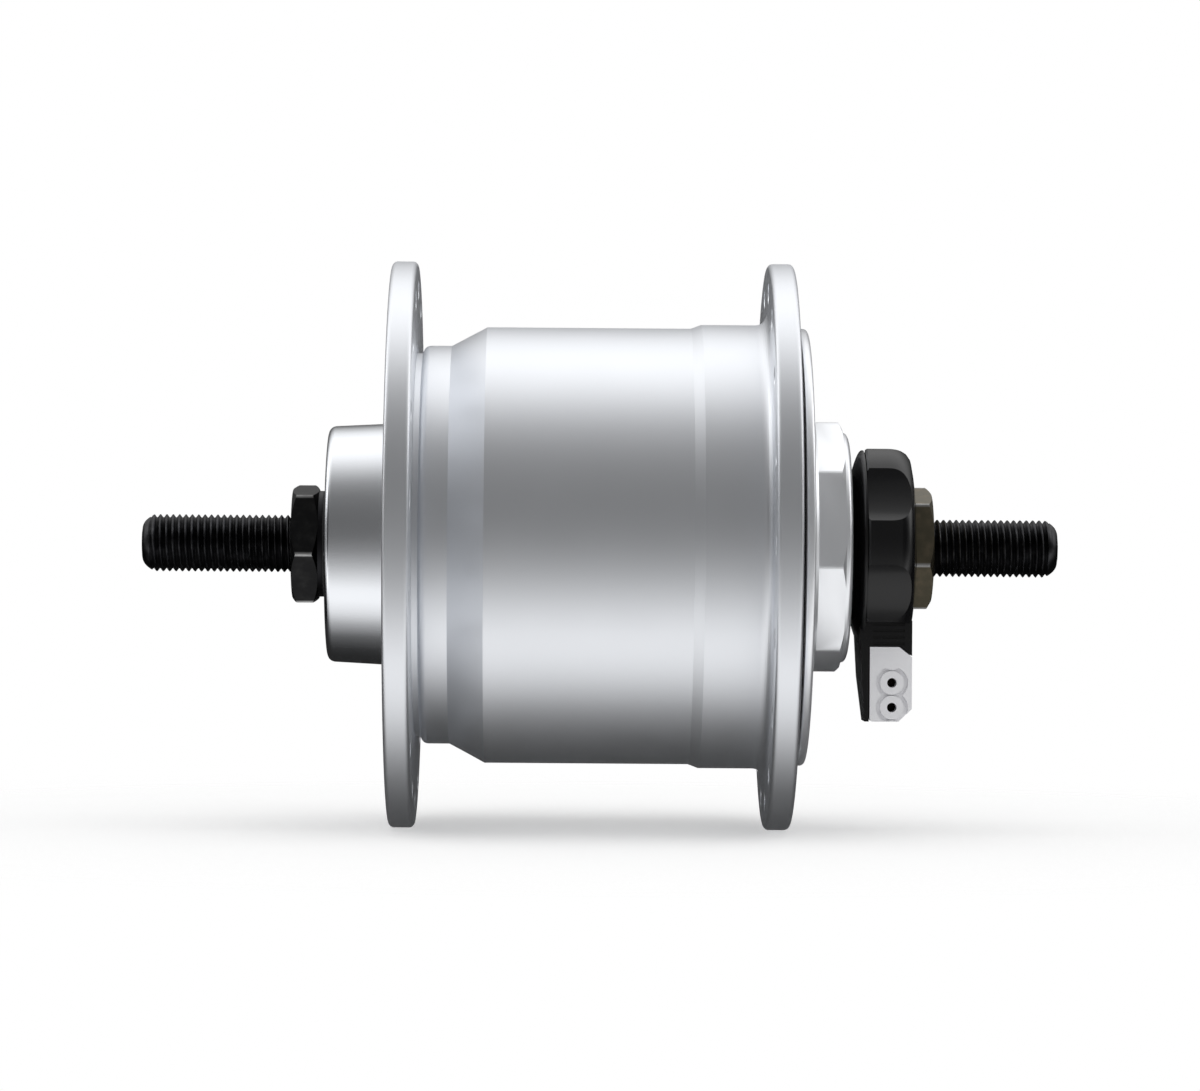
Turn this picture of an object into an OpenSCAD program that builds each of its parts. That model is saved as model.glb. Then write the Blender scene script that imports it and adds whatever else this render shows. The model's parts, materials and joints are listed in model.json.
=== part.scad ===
// Front wheel hub with a generator inside. The axle, the coil and its poles stand still,
// and the shell turns round them with a ring of magnets, on two ball bearings.
// Millimetres. X runs along the axle from the left lock nut's outer face, and Z is up.

/* [Axle] */
// Distance between the outer faces of the two lock nuts
nut_span = 100; // [97:1:106]
// Diameter over the axle's thread
axle_d = 9; // [8:0.5:10]
// Pitch of the axle's thread
thread_pitch = 1; // [0.75:0.05:1.25]
// Length of axle beyond the left lock nut
axle_left = 23.6; // [12:0.1:35]
// Length of axle beyond the right lock nut
axle_right = 19.8; // [12:0.1:35]
// Depth of the rounding at both tips of the axle
axle_edge = 1.1; // [0.3:0.1:1.5]

/* [Lock nuts and washers] */
// Width across the flats of both lock nuts
nut_af = 17; // [16:0.5:18]
// Thickness of the left lock nut
left_nut_t = 3.8; // [3:0.1:4.5]
// Thickness of the right lock nut
right_nut_t = 2.8; // [2:0.1:3.5]
// Width of the chamfer round the nuts' corners
nut_chamfer = 1.3; // [0.6:0.1:1.6]
// Turn of the left nut's corners
left_nut_turn = -20; // [-30:1:30]
// Turn of the right nut's corners
right_nut_turn = -11; // [-30:1:30]
// Diameter of both washers
washer_d = 16.6; // [15.5:0.1:17.5]
// Thickness of the left washer
left_washer_t = 1; // [0.6:0.1:1.6]
// Thickness of the right washer
right_washer_t = 0.8; // [0.6:0.1:1.4]

/* [Shell] */
// Diameter of the spoke flanges
flange_d = 88.7; // [86.5:0.1:94]
// Thickness of the spoke flanges
flange_t = 4; // [3:0.1:5]
// Rounding of the flanges' rims
flange_edge = 0.8; // [0.3:0.1:1.4]
// Distance from a flange's rim in to the middle of a spoke hole
spoke_inset = 4.35; // [3:0.05:6]
// Diameter of a spoke hole
spoke_hole_d = 2.6; // [2.2:0.1:3]
// Chamfer at both ends of a spoke hole
spoke_chamfer = 0.4; // [0.1:0.1:0.7]
// Spoke holes in each flange
spokes = 18; // [14:1:18]
// Height of the spoke flanges above the barrel
flange_h = 10.2; // [8:0.1:13]
// Height of the band beside the right flange above the barrel
band_h = 0.6; // [0.3:0.1:1.5]
// Length of the band, flange side of its ramp
band_len = 10.3; // [7:0.1:14]
// Length of the ramp from the barrel up to the band
band_ramp = 1.6; // [0.8:0.1:3]
// Depth of the neck beside the left flange below the barrel
neck_h = 2.95; // [1.5:0.05:4]
// Length of the neck
neck_len = 5.4; // [4:0.1:7]
// Length of the cone from the neck up to the barrel
cone_len = 5.5; // [3.5:0.1:7]
// Diameter of the left boss at its end
boss_d = 37; // [35:0.1:37.6]
// Diameter of the left boss at its flange
boss_foot_d = 37.8; // [37.7:0.1:41]
// Length of the left boss
boss_len = 9.8; // [9:0.1:11]
// Rounding of the left boss's outer edge
boss_edge = 1.2; // [0.4:0.1:1.8]
// Thickness of the barrel's wall
barrel_wall = 2.65; // [2:0.05:3.5]
// Thickness of the neck's wall
neck_wall = 2.6; // [2:0.1:3.4]
// Thickness of the wall between the left flange and the generator
end_wall = 4.6; // [4:0.1:6]

/* [Side cover] */
// Distance from the band's surface in to the cover's rim
cover_inset = 0.5; // [0.1:0.1:1.5]
// Thickness of the side cover's rim
cover_rim_t = 1.4; // [1.2:0.1:2.4]
// Gap between the right flange and the cover's rim
cover_gap = 0.9; // [0.7:0.1:1.6]
// Thickness of the band's wall outside the cover's screw thread
thread_wall = 2.45; // [2:0.05:3]
// Length of the cover's screw thread
cover_thread_len = 6; // [4:0.1:7]
// Wall of the threaded ring
cover_ring_wall = 2.4; // [1.8:0.1:3]
// Width across the flats of the eight-sided wrench boss
wrench_af = 36.7; // [36.2:0.1:38]
// Length of the wrench boss with the round collar at its foot
wrench_len = 5; // [4:0.1:6]
// Turn of the wrench boss's corners
wrench_turn = 9; // [0:1:44]
// Diameter of the turned nose beside the wrench boss
nose_d = 36; // [35:0.1:36.2]
// Length of the turned nose
nose_len = 2.2; // [1.8:0.1:3]
// Rounding of the nose's outer edge
nose_edge = 1.6; // [0.5:0.1:1.7]

/* [Bearings] */
// Diameter of a bearing ball
ball_d = 4.76; // [4.5:0.01:5]
// Diameter of the circle that the left balls run on
left_pitch_d = 21; // [20.4:0.1:21.8]
// Diameter of the circle that the right balls run on
right_pitch_d = 22.4; // [21.4:0.1:22.8]
// Balls in the left bearing
left_balls = 10; // [8:1:10]
// Balls in the right bearing
right_balls = 11; // [8:1:11]
// Wall of a bearing cup outside its race
cup_wall = 1.5; // [1.2:0.1:1.7]
// Gap between a ball and its races
race_play = 0.05; // [0.02:0.01:0.09]
// Diameter of a cone's stem, where its seal sits
stem_d = 14.4; // [13:0.1:15.4]
// Distance from a bearing's mouth to its row of balls
ball_depth = 4.4; // [4.3:0.1:4.8]

/* [Generator] */
// Room left in the barrel at each end of the coil and its pole plates
end_room = 3.35; // [2.8:0.05:6]
// Fingers on each pole plate
fingers = 14; // [12:1:14]
// Thickness of a pole plate
plate_t = 1.6; // [1.2:0.1:2]
// Thickness of a pole finger
finger_t = 1.6; // [1.2:0.1:1.8]
// Width of a pole finger where it leaves its plate
finger_root = 4.3; // [3.6:0.1:4.6]
// Width of a pole finger at its tip
finger_tip = 2.7; // [2:0.1:2.9]
// Gap between the pole fingers and the magnets
air_gap = 0.4; // [0.3:0.05:0.8]
// Thickness of the ring that carries the magnets
back_iron_t = 2.1; // [1.6:0.1:2.4]
// Thickness of the magnets
magnet_t = 4.2; // [3:0.1:5]
// Length by which the coil and its pole plates are longer than the magnets
magnet_inset = 1; // [0:0.1:4]
// Magnet arcs in the ring
magnets = 4; // [4:1:8]
// Diameter of the steel core on the axle
core_d = 18; // [16:0.1:20]
// Thickness of the bobbin's flanges and tube
bobbin_t = 1.1; // [0.8:0.1:1.5]
// Space between the coil and the pole fingers round it
coil_space = 1.6; // [1:0.1:3]
// Width across the flats of the nuts that hold the poles
pole_nut_af = 14; // [13:0.5:16]
// Thickness of the nuts that hold the poles
pole_nut_t = 3; // [2.4:0.1:4]

/* [Terminal] */
// Diameter of the scalloped cap
cap_d = 31.2; // [30:0.1:33]
// Length of the scalloped cap
cap_len = 7.6; // [7:0.1:8.5]
// Diameter of the cap's flat face
cap_face_d = 21.4; // [20.8:0.1:24]
// Scallops round the cap
scallops = 6; // [5:1:8]
// Radius of a scallop
scallop_r = 12; // [8:0.5:16]
// Depth of a scallop
scallop_depth = 1.7; // [0.8:0.1:2]
// Depth of the cap's seat for the right washer
cap_seat = 0.6; // [0.4:0.1:1]
// Thickness of the terminal's disc
disc_t = 1.5; // [1.3:0.1:2]
// Distance from the axle down to the top of the terminal's arm
arm_top = 11.3; // [10.8:0.1:12]
// Distance from the axle down to the arm's tip
arm_reach = 27.3; // [26.8:0.1:32]
// Width of the arm from front to back
arm_w = 16; // [14:0.5:18]
// Height of the ribbed shoulder above the connector
shoulder_h = 4.6; // [4.2:0.1:5]
// Thickness of the connector
connector_t = 6.55; // [6:0.05:7]
// Diameter of a wire socket
socket_d = 1.5; // [1.2:0.1:1.8]
// Distance between the two wire sockets
socket_pitch = 3.84; // [3.6:0.01:4.2]
// Depth of a wire socket
socket_depth = 5.4; // [4.5:0.1:5.6]
// Depth at which a socket's metal sleeve starts
sleeve_start = 3.2; // [2:0.1:3.6]
// Diameter of a lead wire
wire_d = 1; // [0.8:0.1:1.1]

/* [Fits] */
// Gap round the axle in what is screwed or threaded onto it
thread_play = 0.05; // [0.02:0.01:0.1]
// Gap between a seal's lip and the ring that it runs in
seal_play = 0.08; // [0.03:0.01:0.15]
// Gap round the sliding connector
slide_play = 0.1; // [0.05:0.01:0.2]
// Gap between fixed plastic pieces
plastic_play = 0.1; // [0.05:0.01:0.2]

/* [Hidden] */
$fn = 96;

// Radii
axle_r = axle_d / 2;
core_r = axle_r - 0.325 * thread_pitch;
screw_r = core_r + thread_play;
washer_r = washer_d / 2;
stem_r = stem_d / 2;
ball_r = ball_d / 2;
race_r = ball_r + race_play;
left_pitch_r = left_pitch_d / 2;
right_pitch_r = right_pitch_d / 2;
left_cup_r = left_pitch_r + race_r + cup_wall;
right_cup_r = right_pitch_r + race_r + cup_wall;
flange_r = flange_d / 2;
spoke_circle_r = flange_r - spoke_inset;
barrel_r = flange_r - flange_h;
band_r = barrel_r + band_h;
neck_r = barrel_r - neck_h;
barrel_bore_r = barrel_r - barrel_wall;
cover_r = band_r - cover_inset;
cover_thread_r = band_r - thread_wall;
magnet_out_r = barrel_bore_r - back_iron_t;
magnet_in_r = magnet_out_r - magnet_t;
stator_r = magnet_in_r - air_gap;
coil_r = stator_r - finger_t - coil_space;

// Left stack, from the lock nut's outer face inwards
left_cone_x = left_nut_t + left_washer_t;
seal_collar = 0.8;
boss_x = left_cone_x + seal_collar;
left_ball_x = boss_x + ball_depth;
left_flange_x = boss_x + boss_len;
left_inner_x = left_flange_x + flange_t;
neck_groove = 0.9;
neck_edge = 1.2;
neck_end_x = left_inner_x + neck_len;
barrel_x = neck_end_x + cone_len;
bore_shift = 1;
barrel_bore_x = barrel_x + bore_shift;
cavity_x = left_flange_x + end_wall;

// Right stack, from the lock nut's outer face inwards
right_washer_x = nut_span - right_nut_t - right_washer_t;
cap_end_x = right_washer_x + cap_seat;
cap_x = cap_end_x - cap_len;
disc_x = cap_x - plastic_play - disc_t;
right_cone_x = disc_x - plastic_play;
collar_out = 0.2;
cover_end_x = right_cone_x - collar_out;
right_ball_x = cover_end_x - ball_depth;
wrench_end_x = cover_end_x - nose_len;
cover_face_x = wrench_end_x - wrench_len;
cover_rim_x = cover_face_x - cover_rim_t;
right_outer_x = cover_rim_x - cover_gap;
right_flange_x = right_outer_x - flange_t;
band_x = right_flange_x - band_len;
ramp_x = band_x - band_ramp;
cover_ring_x = right_outer_x - cover_thread_len;

// Shares of a bearing, measured from its balls' centres
cup_mouth = 3.4;
cup_back = 3;
lip_angle = 30;
shoulder_t = 0.6;
nose_reach = 3.1;
cage_rail = 0.57;
cage_lap = 0.8;
cage_low = 0.5;
cage_high = 2.1;
pocket_play = 0.12;
shoulder_low = 0.1;
cap_inset = 0.2;
seal_lip = 0.4;

// Generator
stator_x = (barrel_bore_x + cover_ring_x) / 2;
stator_len = cover_ring_x - barrel_bore_x - 2 * end_room;
magnet_len = stator_len - magnet_inset;
plate_in = stator_len / 2 - plate_t;
bobbin_end = plate_in - plastic_play;
coil_end = bobbin_end - bobbin_t;
finger_gap = 1.6;
arm_start_r = 14;
magnet_split = 2;

// Lead wires in the axle's groove
wire_r = wire_d / 2;
wire_y = 0.8;
wire_bend = 1;
wire_fit = 0.15;
groove_w = 2 * (wire_y + wire_r + wire_fit);
groove_d = wire_d + 2 * wire_fit;
groove_z = -core_r + groove_d / 2;
wire_exit_z = -17;
wire_drop_x = stator_x + stator_len / 2 + pole_nut_t + 1.6;
wire_down_x = cap_x + 0.3;
wire_slot_x = wire_down_x - wire_r - wire_fit;
groove_start_x = wire_drop_x - 2;
groove_end_x = cap_x + 1.6;

// Terminal arm and its connector
arm_bottom_z = -arm_reach;
arm_top_z = -arm_top;
shoulder_z = arm_top_z - shoulder_h;
arm_root_x = disc_x + 0.75;
arm_root_z = -8;
arm_tip_wall = 0.5;
connector_x = disc_x + 2.15;
connector_end_x = connector_x + connector_t;
wall_face_x = connector_x - slide_play;
connector_top_z = shoulder_z - slide_play;
corner_w = 1.9;
corner_h = 1.3;
foot_chamfer = 2;
heel_y = 0;
heel_z = arm_bottom_z + 7;
socket_x = connector_x + 3.45;
lower_socket_z = arm_bottom_z + 2.2;
upper_socket_z = lower_socket_z + socket_pitch;
ring_r = 2.5;
collar_r = 1.85;
ring_depth = 0.6;
blade_w = 3;
blade_t = 0.5;
blade_x = socket_x - blade_w / 2;
blade_top_z = arm_top_z - 1.2;
blade_foot_z = upper_socket_z + 0.4;
wire_end_z = blade_top_z - 1.2;
sleeve_wall = 0.4;
sleeve_bore_r = socket_d / 2 - 0.2;
sleeve_r = socket_d / 2 + sleeve_wall;
leaf_t = 0.3;
leaf_w = 2;
leaf_top_z = upper_socket_z + 3;

// Points of an arc in [radius, x] pairs, from angle a to angle b, where 0 points to +X
function arc(r_mid, x_mid, r, a, b, steps = 8) =
    [for (i = [0:steps]) let (t = a + (b - a) * i / steps) [r_mid + r * sin(t), x_mid + r * cos(t)]];

// Turns a section in [radius, x] pairs round the axle
module lathe() rotate([0, 90, 0]) rotate_extrude() children();

// Section of a plain ring
module ring_section(x0, x1, r_in, r_out) translate([r_in, x0]) square([r_out - r_in, x1 - x0]);

module ring(x0, x1, r_in, r_out) lathe() ring_section(x0, x1, r_in, r_out);

// A prism with flat sides round the axle, whose corners are turned by an angle
module prism(x0, x1, across_flats, sides, turn)
    rotate([turn, 0, 0]) translate([x0, 0, 0]) rotate([0, 90, 0])
        cylinder(r = across_flats / 2 / cos(180 / sides), h = x1 - x0, $fn = sides);

// A hex nut with a countersunk thread, chamfered where chamfer_left and chamfer_right are 1
module hex_nut(x0, x1, across_flats, turn, chamfer_left, chamfer_right) {
    corner_r = across_flats / 2 / cos(30);
    slope = tan(30);
    sink_r = axle_r + 0.15;
    left = chamfer_left * nut_chamfer;
    right = chamfer_right * nut_chamfer;
    difference() {
        intersection() {
            prism(x0, x1, across_flats, 6, turn);
            lathe() polygon([[0, x0], [corner_r - left, x0], [corner_r, x0 + left * slope],
                             [corner_r, x1 - right * slope], [corner_r - right, x1], [0, x1]]);
        }
        ring(x0 - 1, x1 + 1, 0, screw_r);
        lathe() for (end = [x0, x1])
            polygon([[0, end - sink_r], [sink_r, end], [0, end + sink_r]]);
    }
}

// The thread stands at full size where it is free, and at its pitch size inside what it holds
module axle() color("#26262a") {
    tip_r = axle_r - axle_edge;
    edge_len = 1.4 * axle_edge;
    left_tip = -axle_left;
    right_tip = nut_span + axle_right;
    difference() {
        lathe() polygon([[0, left_tip], [tip_r, left_tip], [axle_r - axle_edge / 3, left_tip + edge_len / 3],
                         [axle_r, left_tip + edge_len], [axle_r, 0], [core_r, 0], [core_r, nut_span],
                         [axle_r, nut_span], [axle_r, right_tip - edge_len],
                         [axle_r - axle_edge / 3, right_tip - edge_len / 3], [tip_r, right_tip],
                         [0, right_tip]]);
        translate([groove_start_x, -groove_w / 2, -core_r - 1])
            cube([groove_end_x - groove_start_x, groove_w, groove_d + 1]);
    }
}

module left_lock_nut() color("#2b2a2c")
    hex_nut(0, left_nut_t, nut_af, left_nut_turn, 1, 1);

module right_lock_nut() color("#5a5442")
    hex_nut(nut_span - right_nut_t, nut_span, nut_af, right_nut_turn, 0, 1);

module left_washer() color("#1d1d20")
    ring(left_nut_t, left_cone_x, screw_r, washer_r);

module right_washer() color("#3a3834")
    ring(right_washer_x, right_washer_x + right_washer_t, screw_r, washer_r);

// Section of the half of a bearing that turns with the shell. Its mouth faces -X
module cup_section(pitch_r, cup_r) {
    lip_r = pitch_r - race_r * sin(lip_angle);
    difference() {
        ring_section(-cup_mouth, cup_back, lip_r, cup_r);
        ring_section(-cup_mouth - 1, 0, 0, pitch_r + race_r);
        translate([pitch_r, 0]) circle(race_r);
    }
}

// Section of the half of a bearing that is screwed onto the axle, from its stem's end at -X
module cone_section(pitch_r, stem_len) {
    face = -race_r - shoulder_t;
    ring_section(-stem_len, face, screw_r, stem_r);
    difference() {
        ring_section(face, nose_reach, screw_r, pitch_r - shoulder_low);
        translate([pitch_r, 0]) circle(race_r);
        ring_section(0, nose_reach + 1, pitch_r - race_r, pitch_r);
    }
}

// Section of a seal on a cone's stem: a collar from x0 to x1 and a lip from x1 to x2
module seal_section(collar_r, lip_r, x0, x1, x2) {
    ring_section(min(x0, x1), max(x0, x1), stem_r, collar_r);
    ring_section(min(x1, x2), max(x1, x2), stem_r, lip_r);
}

// A row of balls round the axle
module balls(x, pitch_r, count)
    for (i = [0:count - 1]) rotate([i * 360 / count, 0, 0]) translate([x, 0, pitch_r])
        sphere(ball_r, $fn = 48);

// A crown cage with its rail on the -X side
module cage(pitch_r, count)
    difference() {
        ring(-race_r - cage_rail, cage_lap, pitch_r + cage_low, pitch_r + cage_high);
        for (i = [0:count - 1]) rotate([i * 360 / count, 0, 0]) translate([0, 0, pitch_r])
            sphere(ball_r + pocket_play, $fn = 48);
    }

module left_bearing_cup() color("#8d9096")
    translate([left_ball_x, 0, 0]) lathe() cup_section(left_pitch_r, left_cup_r);

module right_bearing_cup() color("#8d9096")
    translate([right_ball_x, 0, 0]) mirror([1, 0, 0]) lathe() cup_section(right_pitch_r, right_cup_r);

module left_cone() color("#3c3d40")
    translate([left_ball_x, 0, 0]) lathe() cone_section(left_pitch_r, left_ball_x - left_cone_x);

module right_cone() color("#3c3d40")
    translate([right_ball_x, 0, 0]) mirror([1, 0, 0])
        lathe() cone_section(right_pitch_r, right_cone_x - right_ball_x);

module left_bearing_balls() color("#b9bcc2") balls(left_ball_x, left_pitch_r, left_balls);

module right_bearing_balls() color("#b9bcc2") balls(right_ball_x, right_pitch_r, right_balls);

module left_ball_cage() color("#b08d57")
    translate([left_ball_x, 0, 0]) cage(left_pitch_r, left_balls);

module right_ball_cage() color("#b08d57")
    translate([right_ball_x, 0, 0]) mirror([1, 0, 0]) cage(right_pitch_r, right_balls);

module left_dust_seal() color("#151517")
    lathe() seal_section(washer_r, left_pitch_r + seal_lip, left_cone_x, boss_x + cap_inset,
                         left_ball_x - cup_mouth);

module right_dust_seal() color("#151517")
    lathe() seal_section(right_pitch_r - 1, right_pitch_r + seal_lip, right_cone_x,
                         cover_end_x - cap_inset, right_ball_x + cup_mouth);

module left_dust_cap() color("#9a9da3")
    ring(boss_x + cap_inset, left_ball_x - cup_mouth, left_pitch_r + seal_lip + seal_play, left_cup_r);

module right_dust_cap() color("#9a9da3")
    ring(right_ball_x + cup_mouth, cover_end_x - cap_inset, right_pitch_r + seal_lip + seal_play,
         right_cup_r);

// One spoke hole with its two chamfers, through a flange that starts at x
module spoke_hole(x) {
    r = spoke_hole_d / 2;
    wide = r + spoke_chamfer;
    rotate([0, 90, 0]) translate([0, 0, x]) rotate_extrude($fn = 32)
        polygon([[0, -1], [wide, -1], [wide, 0], [r, spoke_chamfer], [r, flange_t - spoke_chamfer],
                 [wide, flange_t], [wide, flange_t + 1], [0, flange_t + 1]]);
}

module spoke_ring(x, turn)
    for (i = [0:spokes - 1]) rotate([turn + i * 360 / spokes, 0, 0])
        translate([0, 0, spoke_circle_r]) spoke_hole(x);

module hub_shell() color("#c3c6cb") {
    rim_r = flange_r - flange_edge;
    boss_r = boss_d / 2;
    foot_r = boss_foot_d / 2;
    foot_fillet = 0.9;
    neck_foot_r = neck_r - neck_edge;
    band_fillet = 1.8;
    neck_bore_r = neck_r - neck_wall;
    thread_end_x = cover_ring_x - 0.5;
    thread_relief = 0.5;
    cup_floor_x = left_ball_x + cup_back;
    hole_r = left_pitch_r;
    outside = concat(
        arc(boss_r - boss_edge, boss_x + boss_edge, boss_edge, 180, 90),
        arc(foot_r + foot_fillet, left_flange_x - foot_fillet, foot_fillet, -90, 0),
        arc(rim_r, left_flange_x + flange_edge, flange_edge, 180, 90),
        arc(rim_r, left_inner_x - flange_edge, flange_edge, 90, 0),
        [[neck_foot_r, left_inner_x]],
        arc(neck_foot_r, left_inner_x + neck_groove + neck_edge, neck_edge, 180, 90),
        [[neck_r, neck_end_x], [barrel_r, barrel_x], [barrel_r, ramp_x], [band_r, band_x]],
        arc(band_r + band_fillet, right_flange_x - band_fillet, band_fillet, -90, 0),
        arc(rim_r, right_flange_x + flange_edge, flange_edge, 180, 90),
        arc(rim_r, right_outer_x - flange_edge, flange_edge, 90, 0));
    inside = [[cover_thread_r, right_outer_x], [cover_thread_r, thread_end_x],
              [barrel_bore_r, thread_end_x - thread_relief], [barrel_bore_r, barrel_bore_x],
              [neck_bore_r, neck_end_x + bore_shift], [neck_bore_r, cavity_x], [hole_r, cavity_x],
              [hole_r, cup_floor_x], [left_cup_r, cup_floor_x], [left_cup_r, boss_x]];
    difference() {
        lathe() polygon(concat(outside, inside));
        spoke_ring(left_flange_x, 0);
        spoke_ring(right_flange_x, 180 / spokes);
    }
}

module side_cover() color("#b4b7bc") {
    rim_edge = min(0.7, cover_rim_t / 2);
    back_edge = 0.2;
    screw = cover_thread_r - plastic_play;
    screw_chamfer = 0.5;
    ring_in_r = screw - cover_ring_wall;
    nose_r = nose_d / 2;
    collar_w = 0.4;
    collar_h = 1.1;
    collar_edge = 0.4;
    corner_land = 0.1;
    wrench_r = wrench_af / 2 / cos(22.5) - corner_land;
    collar_r = wrench_r + corner_land + collar_w;
    wrench_chamfer = 0.5;
    cup_floor_x = right_ball_x - cup_back;
    hole_r = right_pitch_r + 0.8;
    inner_face_x = cup_floor_x - 1.6;
    wrench_in_r = right_cup_r + 0.5;
    lathe() polygon(concat(
        [[ring_in_r, cover_ring_x], [screw - screw_chamfer, cover_ring_x],
         [screw, cover_ring_x + screw_chamfer], [screw, cover_rim_x]],
        arc(cover_r - back_edge, cover_rim_x + back_edge, back_edge, 180, 90, 2),
        arc(cover_r - rim_edge, cover_face_x - rim_edge, rim_edge, 90, 0),
        [[collar_r, cover_face_x], [collar_r, cover_face_x + collar_h - collar_edge],
         [collar_r - collar_edge, cover_face_x + collar_h], [nose_r, cover_face_x + collar_h]],
        arc(nose_r - nose_edge, cover_end_x - nose_edge, nose_edge, 90, 0),
        [[right_cup_r, cover_end_x], [right_cup_r, cup_floor_x], [hole_r, cup_floor_x],
         [hole_r, inner_face_x], [ring_in_r, inner_face_x]]));
    intersection() {
        prism(cover_face_x, wrench_end_x, wrench_af, 8, wrench_turn);
        lathe() polygon([[wrench_in_r, cover_face_x], [wrench_r, cover_face_x],
                         [wrench_r, wrench_end_x - wrench_chamfer],
                         [wrench_r - 2 * wrench_chamfer, wrench_end_x],
                         [wrench_in_r, wrench_end_x]]);
    }
}

module cover_o_ring() color("#1a1a1c") {
    section_r = (cover_gap - plastic_play) / 2;
    lathe() translate([cover_thread_r + section_r, cover_rim_x - cover_gap / 2])
        circle(section_r, $fn = 32);
}

module back_iron_ring() color("#6f7276")
    ring(stator_x - stator_len / 2 - 0.5, stator_x + stator_len / 2 + 0.5, magnet_out_r, barrel_bore_r);

module magnet_segments() color("#4a4c50") {
    sweep = 360 / magnets - magnet_split;
    for (i = [0:magnets - 1]) rotate([i * 360 / magnets, 0, 0])
        translate([stator_x, 0, 0]) rotate([0, 90, 0]) rotate_extrude(angle = sweep)
            ring_section(-magnet_len / 2, magnet_len / 2, magnet_in_r, magnet_out_r);
}

// A pole plate at the +X end, with arms that bend into fingers over the coil
module claw_pole(turn) {
    r_in = stator_r - finger_t;
    plate_end = stator_len / 2;
    tip_x = -plate_in + finger_gap;
    ring(plate_in, plate_end, screw_r, arm_start_r);
    for (i = [0:fingers - 1]) rotate([turn + i * 360 / fingers, 0, 0])
        intersection() {
            union() {
                ring(plate_in, plate_end, arm_start_r - 1, stator_r);
                ring(tip_x, plate_end, r_in, stator_r);
            }
            linear_extrude(stator_r + 1)
                polygon([[plate_end, -finger_root / 2], [tip_x, -finger_tip / 2],
                         [tip_x, finger_tip / 2], [plate_end, finger_root / 2]]);
        }
}

module right_claw_pole() color("#7b7e83")
    translate([stator_x, 0, 0]) claw_pole(180 + 180 / fingers);

module left_claw_pole() color("#7b7e83")
    translate([stator_x, 0, 0]) mirror([1, 0, 0]) claw_pole(180);

module stator_core() color("#63666b")
    ring(stator_x - plate_in, stator_x + plate_in, screw_r, core_d / 2);

module coil_bobbin() color("#e8e4d6") {
    tube_in = core_d / 2 + plastic_play;
    cheek_r = coil_r + coil_space / 2;
    translate([stator_x, 0, 0]) {
        ring(-bobbin_end, bobbin_end, tube_in, tube_in + bobbin_t);
        for (side = [-1, 1]) scale([side, 1, 1]) ring(coil_end, bobbin_end, tube_in, cheek_r);
    }
}

module coil_winding() color("#b5651d")
    ring(stator_x - coil_end, stator_x + coil_end, core_d / 2 + plastic_play + bobbin_t, coil_r);

module left_pole_nut() color("#85888d") {
    x = stator_x - stator_len / 2;
    hex_nut(x - pole_nut_t, x, pole_nut_af, 0, 1, 0);
}

module right_pole_nut() color("#85888d") {
    x = stator_x + stator_len / 2;
    hex_nut(x, x + pole_nut_t, pole_nut_af, 0, 0, 1);
}

module terminal_cap() color("#161618") {
    cap_r = cap_d / 2;
    face_r = cap_face_d / 2;
    edge = 0.3;
    curve_x = cap_x + 2.9;
    curve_len = cap_end_x - curve_x;
    crown = [for (i = [1:9]) let (t = i / 10)
             [face_r + (cap_r - face_r) * sqrt(1 - pow(t, 3)), curve_x + t * curve_len]];
    scallop_y = cap_r - scallop_depth + scallop_r;
    first_scallop = 57;
    difference() {
        lathe() polygon(concat(
            [[screw_r, cap_x], [cap_r - edge, cap_x], [cap_r, cap_x + edge], [cap_r, curve_x]],
            crown, [[face_r, cap_end_x], [screw_r, cap_end_x]]));
        ring(right_washer_x, cap_end_x + 1, 0, nut_af / 2 / cos(30) + 0.2);
        for (i = [0:scallops - 1]) rotate([first_scallop + i * 360 / scallops, 0, 0])
            translate([cap_x - 1, 0, scallop_y]) rotate([0, 90, 0])
                cylinder(r = scallop_r, h = cap_len + 2, $fn = 128);
        translate([cap_x - 1, -cap_r - 1, arm_top_z - plastic_play - cap_r])
            cube([cap_len + 2, cap_d + 2, cap_r + 2 * plastic_play]);
        translate([wire_slot_x, -groove_w / 2, arm_top_z - 1])
            cube([2 * (wire_r + wire_fit), groove_w, arm_top - core_r + groove_d + 1]);
    }
}

// An outline in [x, z] pairs, drawn out from front to back over a width
module slab(width) rotate([90, 0, 0]) linear_extrude(width, center = true) children();

// The arm's side outline, which keeps its front upright and cuts its rear corner away
module side_outline(x0, x1)
    translate([x0, 0, 0]) rotate([90, 0, 90]) linear_extrude(x1 - x0)
        polygon([[-arm_w / 2, 0], [-arm_w / 2, arm_bottom_z], [heel_y, arm_bottom_z],
                 [arm_w / 2, heel_z], [arm_w / 2, 0]]);

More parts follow.
